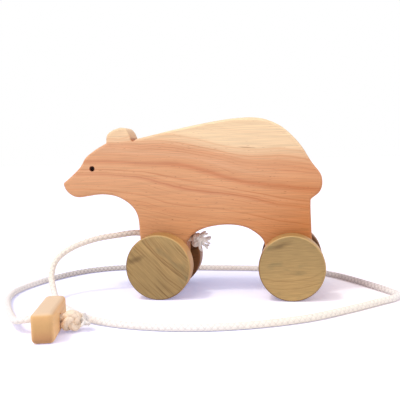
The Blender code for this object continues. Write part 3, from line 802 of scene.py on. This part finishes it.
def cord_line():
    """The free cord's centreline, from inside the chest's bore to inside the handle's."""
    outward = (BORE_FRONT - BORE_BACK).normalized()
    mouth = handle_side(-1.0)
    inward = (handle_side(1.0) - mouth).normalized()
    route = [BORE_FRONT - outward * CORD_INSIDE, BORE_FRONT + outward * CORD_STRAIGHT]
    for x, y, z in CORD_ROUTE:
        route.append(Vector((x, y, FLOOR_CORD_Z if z is None else z)))
    route += [mouth - inward * CORD_STRAIGHT, mouth + inward * CORD_INSIDE]
    run = smooth_run(route)
    for point in run:
        point.z = max(point.z, FLOOR_CORD_Z)
    return run


def knot_run(ring):
    """An overhand knot round the origin, its cord in from -X and out to +X over the top at +Y.

    The middle of the run is a trefoil, a wave of three round two turns of a ring.
    """
    wave = KNOT_WAVE_SHARE * ring
    top = ring + 0.6 * wave
    middle = []
    for step in range(KNOT_STEPS + 1):
        angle = KNOT_OPENING + (math.tau - 2.0 * KNOT_OPENING) * step / KNOT_STEPS
        radius = ring + wave * math.cos(3.0 * angle)
        depth = 1.3 * wave * math.sin(3.0 * angle)
        middle.append(Vector((radius * math.sin(2.0 * angle), radius * math.cos(2.0 * angle), depth)))
    entry = Vector((-0.35 * ring, top, 0.8 * wave))
    leave = [Vector((0.35 * ring, top, -0.8 * wave)), Vector((1.9 * ring, 0.4 * ring, 0.0))]
    return entry, middle, leave


def yarn_shells(root, root_axis, tips_mm, seed):
    """Frayed strands from the cord's end to their tips: three plies twisted together and curled."""
    chance = random.Random(seed)
    radius = sizes().yarn_diameter / 2.0
    shells = []
    for tip_mm in tips_mm:
        tip = Vector(tip_mm) * MM
        reach = (tip - root).length
        bend = root + root_axis * reach * 0.4
        aim = (tip - root).normalized()
        side = aim.orthogonal().normalized()
        phase = chance.uniform(0.0, math.tau)
        run = []
        for step in range(YARN_STEPS + 1):
            share = step / YARN_STEPS
            centre = root * (1.0 - share) ** 2 + bend * 2.0 * share * (1.0 - share) + tip * share ** 2
            swirl = Quaternion(aim, YARN_CURL * share + phase)
            run.append(centre + (swirl @ side) * radius * (0.5 + 0.9 * share) * min(1.0, 3.0 * share))
        line, along = even_line(smooth_run(run, 4), YARN_STEP)
        ends = [0.0, 0.15, 0.7, 0.9, 1.0]
        taper = radius * np.interp(along / along[-1], ends, [0.9, 1.0, 1.08, 1.0, 0.45])
        turn = np.arange(YARN_SIDES)[None, :] / YARN_SIDES * math.tau
        lobes = np.abs(np.cos(1.5 * (turn - along[:, None] / PLY_TWIST * math.tau)))
        shells.append((*tube_shell(line, along, YARN_SIDES, taper[:, None] * (0.74 + 0.26 * lobes)), 1))
    return shells


def hair_shells(root, root_axis, seed):
    """Single cotton fibres that stand off a frayed end; drawn 0.12 mm thick so that they show."""
    chance = random.Random(seed)
    shells = []
    for _ in range(HAIRS):
        aim = (root_axis + Vector([chance.uniform(-0.9, 0.9) for _ in range(3)])).normalized()
        droop = Vector([chance.uniform(-0.5, 0.5) for _ in range(3)])
        size = HAIR_LENGTH * chance.uniform(0.6, 1.15)
        run = []
        for step in range(HAIR_STEPS + 1):
            share = step / HAIR_STEPS
            run.append(root + aim * size * share + droop * size * 0.6 * share ** 2)
        line, along = even_line(run, size / 6.0)
        reach = np.repeat(np.linspace(*HAIR_RADII, len(line))[:, None], 4, axis=1)
        shells.append((*tube_shell(line, along, 4, reach), 1))
    return shells


def make_knotted_end(name, stub, knot_place, ring, tips_mm, seed, start):
    """The cord in a bore, the overhand knot behind it and its frayed end, from a length on."""
    entry, middle, leave = knot_run(ring)
    points = [*stub, *(knot_place @ point for point in (entry, *middle, *leave))]
    line, along = even_line(smooth_run(points, 6), KNOT_STEP)
    stub_length = (stub[-1] - stub[0]).length
    wide, tight = sizes().cord_diameter / 2.0, sizes().knot_cord / 2.0
    radii = np.interp(along, [stub_length, stub_length + 3.0 * MM], [wide, tight])
    shells = [(*tube_shell(line, along + start, CORD_SIDES, braid_reach(along, radii)), 0)]
    root_axis = Vector(line[-1] - line[-4]).normalized()
    root = Vector(line[-1]) - root_axis * 1.2 * MM
    shells += yarn_shells(root, root_axis, tips_mm, seed)
    shells += hair_shells(root, root_axis, seed)
    braid = material_once("braided_unbleached_cotton", cotton_braid_material)
    yarn = material_once("frayed_cotton_yarn", loose_yarn_material)
    return add_soft_mesh(name, shells, [braid, yarn])


# Solid pieces


def deselect_all():
    """Deselect every object."""
    bpy.ops.object.select_all(action="DESELECT")


def activate(item):
    """Select one object alone and make it active."""
    deselect_all()
    item.select_set(True)
    bpy.context.view_layer.objects.active = item


def apply_modifiers(item):
    """Apply all modifiers of an object, first to last."""
    activate(item)
    for modifier in list(item.modifiers):
        bpy.ops.object.modifier_apply(modifier=modifier.name)


def settle(item):
    """Leave the object at the origin, unturned and unscaled, its place in its mesh."""
    activate(item)
    bpy.ops.object.transform_apply(location=True, rotation=True, scale=True)


def dress(item, material):
    """Give an object one material alone."""
    item.data.materials.clear()
    item.data.materials.append(material)


def select_parts(mesh, kind, test):
    """Select the faces or the edges of an edit-mode mesh that pass a test."""
    bpy.ops.mesh.select_mode(type=kind)
    bpy.ops.mesh.select_all(action="DESELECT")
    shape = bmesh.from_edit_mesh(mesh)
    for part in shape.faces if kind == "FACE" else shape.edges:
        part.select_set(test(part))
    bmesh.update_edit_mesh(mesh)


def close_edit():
    """Merge doubled points, turn the faces outward and leave edit mode."""
    bpy.ops.mesh.select_all(action="SELECT")
    bpy.ops.mesh.remove_doubles(threshold=1e-6)
    bpy.ops.mesh.normals_make_consistent(inside=False)
    bpy.ops.object.mode_set(mode="OBJECT")


def smooth_rounds(item):
    """Shade round faces smooth and keep flat ones flat."""
    activate(item)
    bpy.ops.object.shade_smooth_by_angle(angle=math.radians(35.0))
    modifier = item.modifiers.new("flat_faces", "WEIGHTED_NORMAL")
    modifier.keep_sharp = True
    modifier.weight = 80
    apply_modifiers(item)


def rounded_cylinder(radius, length, sides, edge, segments):
    """A cylinder along Y about the origin with rounded ends, left in edit mode."""
    deselect_all()
    bpy.ops.mesh.primitive_cylinder_add(vertices=sides, radius=radius, depth=length,
                                        rotation=(math.radians(90.0), 0.0, 0.0))
    item = bpy.context.object
    settle(item)
    bpy.ops.object.mode_set(mode="EDIT")
    select_parts(item.data, "EDGE", lambda part: abs(part.verts[0].co.y - part.verts[1].co.y) < 1e-6)
    bpy.ops.mesh.bevel(offset=edge, segments=segments, profile=0.5, affect="EDGES")
    return item


def model_wheel(radius, width):
    """One wheel about the origin, its inner face and blind bore towards +Y."""
    edge = sizes().wheel_edge
    wheel = rounded_cylinder(radius, width, WHEEL_SIDES, edge, 6)
    select_parts(wheel.data, "FACE", lambda part: part.normal.y > 0.99 and part.calc_area() > 1e-4)
    bpy.ops.mesh.inset(thickness=radius - edge - WHEEL_BORE_RADIUS)
    bpy.ops.mesh.extrude_region_move(TRANSFORM_OT_translate={"value": (0.0, -WHEEL_BORE_DEPTH, 0.0)})
    close_edit()
    smooth_rounds(wheel)
    return wheel


def copy_piece(source, name, matrix):
    """A copy of a finished piece with its own mesh, placed by a matrix in its mesh."""
    item = add_object(name, source.data.copy())
    item.matrix_world = matrix
    settle(item)
    return item


class TOY_OT_camera(bpy.types.Operator):
    """Set up the camera at the viewing angle of a person who kneels before the toy"""

    bl_idname = "bear_toy.camera"
    bl_label = "Camera"

    def execute(self, context):
        data = bpy.data.cameras.new("product_camera")
        data.sensor_width = 36.0
        data.lens = CAMERA_LENS
        data.clip_start = 0.01
        data.clip_end = 20.0
        camera = add_object("product_camera", data)
        place = Matrix.Translation(Vector(CAMERA_MM) * MM)
        for degrees, axis in CAMERA_TURNS:
            place = place @ Matrix.Rotation(math.radians(degrees), 4, axis)
        camera.matrix_world = place
        context.scene.camera = camera
        return {"FINISHED"}


class TOY_OT_handle(bpy.types.Operator):
    """Make the handle block with eased edges and a cross bore"""

    bl_idname = "bear_toy.handle"
    bl_label = "Handle"

    def execute(self, context):
        deselect_all()
        bpy.ops.mesh.primitive_cube_add(size=1.0, location=HANDLE_PLACE, rotation=(0.0, 0.0, HANDLE_TURN),
                                        scale=Vector(HANDLE_MM) * MM)
        handle = context.object
        handle.name = handle.data.name = "pull_handle_block"
        settle(handle)
        activate(handle)
        bpy.ops.object.mode_set(mode="EDIT")
        bpy.ops.mesh.select_all(action="SELECT")
        bpy.ops.mesh.bevel(offset=sizes().handle_edge, segments=6, profile=0.5, affect="EDGES")
        bpy.ops.object.mode_set(mode="OBJECT")
        deselect_all()
        bpy.ops.mesh.primitive_cylinder_add(vertices=40, radius=HANDLE_BORE_RADIUS,
                                            depth=2.0 * HANDLE_MM[0] * MM, location=HANDLE_PLACE,
                                            rotation=(0.0, math.radians(90.0), HANDLE_TURN))
        drill = context.object
        cut = handle.modifiers.new("cross_bore", "BOOLEAN")
        cut.operation = "DIFFERENCE"
        cut.object = drill
        apply_modifiers(handle)
        bpy.data.objects.remove(drill, do_unlink=True)
        smooth_rounds(handle)
        dress(handle, plain_wood_material(
            "oiled_cherry_sapwood", tuple(colours().handle_wood), [value / MM for value in HANDLE_PLACE],
            turn_degrees=math.degrees(HANDLE_TURN), height_mm=HANDLE_MM[2], streak_share=0.3,
            painted_top_light=0.85))
        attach(handle, "bear")
        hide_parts("pull_handle")
        return {"FINISHED"}


class TOY_OT_knots(bpy.types.Operator):
    """Make the two knots with their frayed ends"""

    bl_idname = "bear_toy.knots"
    bl_label = "Knots"

    def execute(self, context):
        upright = Matrix.Rotation(math.radians(90.0), 4, "X")
        leg_turn = Matrix.Rotation(LEG_KNOT_TURN, 4, "Z") @ upright
        along = (BORE_BACK - BORE_FRONT).normalized()
        stub = [BORE_FRONT + along * (CORD_INSIDE + BORE_GAP), BORE_BACK]
        leg = make_knotted_end("leg_knot_braid", stub, Matrix.Translation(LEG_KNOT_CENTRE) @ leg_turn,
                               LEG_KNOT_RING, LEG_TIPS_MM, seed=3, start=LEG_KNOT_START)
        mouth = handle_side(1.0)
        outward = (mouth - handle_side(-1.0)).normalized()
        stub = [handle_side(-1.0) + outward * (CORD_INSIDE + BORE_GAP), mouth]
        centre = mouth + outward * HANDLE_KNOT_REACH
        centre.z = HANDLE_KNOT_Z
        place = (Matrix.Translation(centre)
                 @ Matrix.Rotation(HANDLE_TURN + HANDLE_KNOT_SWING, 4, "Z") @ upright)
        far = make_knotted_end("handle_knot_braid", stub, place, HANDLE_KNOT_RING, HANDLE_TIPS_MM,
                               seed=11, start=HANDLE_KNOT_START)
        for item, node in ((leg, "leg_knot"), (far, "handle_knot")):
            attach(item, "bear")
            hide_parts(node)
        return {"FINISHED"}


class TOY_OT_cord(bpy.types.Operator):
    bl_idname = "bear_toy.cord"
    bl_label = "Pull Cord"

    def execute(self, context):
        line, along = even_line(cord_line(), CORD_STEP)
        reach = braid_reach(along, np.full(len(line), sizes().cord_diameter / 2.0))
        braid = material_once("braided_unbleached_cotton", cotton_braid_material)
        cord = add_soft_mesh("pull_cord_braid", [(*tube_shell(line, along, CORD_SIDES, reach), 0)],
                             [braid])
        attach(cord, "bear")
        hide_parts("pull_cord")
        return {"FINISHED"}


class TOY_OT_bear(bpy.types.Operator):
    """Finish the plank bear with smooth rounded edges and its cherry wood"""

    bl_idname = "bear_toy.bear"
    bl_label = "Bear"

    def execute(self, context):
        bear = add_object("bear_plank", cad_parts["bear_body"].data.copy())
        activate(bear)
        bpy.ops.object.mode_set(mode="EDIT")
        close_edit()
        smooth_rounds(bear)
        dress(bear, cherry_material())
        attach(bear, "bear")
        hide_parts("bear_body")
        return {"FINISHED"}


class TOY_OT_wheels(bpy.types.Operator):
    """Model a front and a rear wheel and place their copies, each with its own grain"""

    bl_idname = "bear_toy.wheels"
    bl_label = "Wheels"

    def execute(self, context):
        for end, sides in WHEEL_LOOKS.items():
            low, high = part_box(end + "_left_wheel")
            radius = (high.z - low.z) / 2.0
            model = model_wheel(radius, high.y - low.y)
            for side, look in sides.items():
                low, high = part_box(f"{end}_{side}_wheel")
                centre = (low + high) / 2.0
                turn = math.radians(0.0 if side == "left" else 180.0)
                wheel = copy_piece(model, f"{end}_{side}_disc",
                                   Matrix.Translation(centre) @ Matrix.Rotation(turn, 4, "Z"))
                dress(wheel, poplar_material(
                    f"oiled_poplar_{end}_{side}", [value / MM for value in centre], look))
                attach(wheel, end + "_wheelset")
                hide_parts(f"{end}_{side}_wheel")
            bpy.data.objects.remove(model, do_unlink=True)
        return {"FINISHED"}


class TOY_OT_axles(bpy.types.Operator):
    """Make the two birch dowels that the wheels are glued to"""

    bl_idname = "bear_toy.axles"
    bl_label = "Axles"

    def execute(self, context):
        radius = (AXLE_HIGH.x - AXLE_LOW.x) / 2.0
        model = rounded_cylinder(radius, AXLE_HIGH.y - AXLE_LOW.y, AXLE_SIDES, AXLE_EDGE, 2)
        bpy.ops.object.mode_set(mode="OBJECT")
        smooth_rounds(model)
        for end, place_mm in AXLE_MM.items():
            axle = copy_piece(model, end + "_dowel", Matrix.Translation(Vector(place_mm) * MM))
            dress(axle, plain_wood_material(
                "birch_dowel_" + end, tuple(colours().axle_wood), place_mm, turn_degrees=0.0,
                height_mm=60.0, streak_share=0.25, painted_top_light=0.0))
            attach(axle, end + "_wheelset")
            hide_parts(end + "_axle")
        bpy.data.objects.remove(model, do_unlink=True)
        return {"FINISHED"}


class TOY_OT_stage(bpy.types.Operator):
    """Make the pale floor, the soft lamps and the world's fill"""

    bl_idname = "bear_toy.stage"
    bl_label = "Stage"

    def execute(self, context):
        deselect_all()
        bpy.ops.mesh.primitive_plane_add(size=FLOOR_WIDTH)
        floor = context.object
        floor.name = floor.data.name = "paper_floor"
        dress(floor, self.paper())
        for name, (aim, degrees, strength) in LAMPS.items():
            self.lamp(name, aim, degrees, strength)
        self.world(context)
        context.scene.view_settings.view_transform = "Standard"
        return {"FINISHED"}

    def seen(self, tree):
        """1 where the camera sees it, also by reflection or through glass."""
        path = add_node(tree, "LightPath").outputs
        seen = add_node(tree, "Math", path["Is Camera Ray"], path["Is Glossy Ray"], operation="MAXIMUM")
        return add_node(tree, "Math", seen, path["Is Transmission Ray"], operation="MAXIMUM")

    def paper(self):
        """Matt white paper: a bright ground that keeps soft shadows and shows white to the camera."""
        material, tree, shader = new_material("matt_white_paper")
        shader.inputs["Base Color"].default_value = tuple(colours().floor)
        shader.inputs["Roughness"].default_value = 0.9
        shader.inputs["Specular IOR Level"].default_value = 0.0
        coords = add_node(tree, "TexCoord").outputs
        # Painted light: the glow that only the camera sees tints the shadows, bluer up to 40 mm along X and
        # pinker from 100 mm, a painted warm bounce from the toy
        along = add_node(tree, "SeparateXYZ", coords["Object"]).outputs[0]
        place = add_node(tree, "MapRange", along, 0.04, 0.10)
        tint = add_node(tree, "ValToRGB", place, stops=linear_stops((0.0, "767ea2"), (1.0, "8b7e81")))
        glow = add_node(tree, "Emission", tint, self.seen(tree))
        both = add_node(tree, "AddShader", shader, glow)
        output = next(node for node in tree.nodes if node.type == "OUTPUT_MATERIAL")
        tree.links.new(both.outputs[0], output.inputs[0])
        return material

    def lamp(self, name, aim, degrees, strength):
        """A distant lamp that shines along aim, so many degrees wide."""
        data = bpy.data.lights.new(name, "SUN")
        data.angle = math.radians(degrees)
        data.energy = strength * math.pi
        data.color = (1.0, 0.98, 0.93)
        item = add_object(name, data)
        item.rotation_euler = Vector(aim).to_track_quat("-Z", "Y").to_euler()

    def world(self, context):
        """An even, faintly cool fill that the camera sees as white."""
        world = bpy.data.worlds.new("studio_fill")
        context.scene.world = world
        world.use_nodes = True
        tree = world.node_tree
        tree.nodes.clear()
        fill = add_node(tree, "Background", linear("eceaff"), 0.505)
        white = add_node(tree, "Background", linear("ffffff"), 1.0)
        add_node(tree, "OutputWorld", add_node(tree, "MixShader", self.seen(tree), fill, white))


MAKERS = (TOY_OT_camera, TOY_OT_handle, TOY_OT_knots, TOY_OT_cord, TOY_OT_bear, TOY_OT_wheels,
          TOY_OT_axles, TOY_OT_stage)


class TOY_PT_panel(bpy.types.Panel):
    """Sizes, colours and makers of the toy"""

    bl_idname = "TOY_PT_panel"
    bl_label = "Bear Pull Toy"
    bl_space_type = "VIEW_3D"
    bl_region_type = "UI"
    bl_category = "Bear Toy"

    def draw(self, context):
        for group in (context.scene.toy_sizes, context.scene.toy_colours):
            box = self.layout.box()
            for name in group.__annotations__:
                box.prop(group, name)
        for maker in MAKERS:
            self.layout.operator(maker.bl_idname)


CLASSES = (ToySizes, ToyColours, *MAKERS, TOY_PT_panel)


def register():
    for item in CLASSES:
        bpy.utils.register_class(item)
    bpy.types.Scene.toy_sizes = bpy.props.PointerProperty(type=ToySizes)
    bpy.types.Scene.toy_colours = bpy.props.PointerProperty(type=ToyColours)


def unregister():
    del bpy.types.Scene.toy_colours
    del bpy.types.Scene.toy_sizes
    for item in reversed(CLASSES):
        bpy.utils.unregister_class(item)


def main():
    """Register the add-on and make every piece in order."""
    register()
    deselect_all()
    for maker in MAKERS:
        area, name = maker.bl_idname.split(".")
        getattr(getattr(bpy.ops, area), name)()


if __name__ == "__main__":
    main()
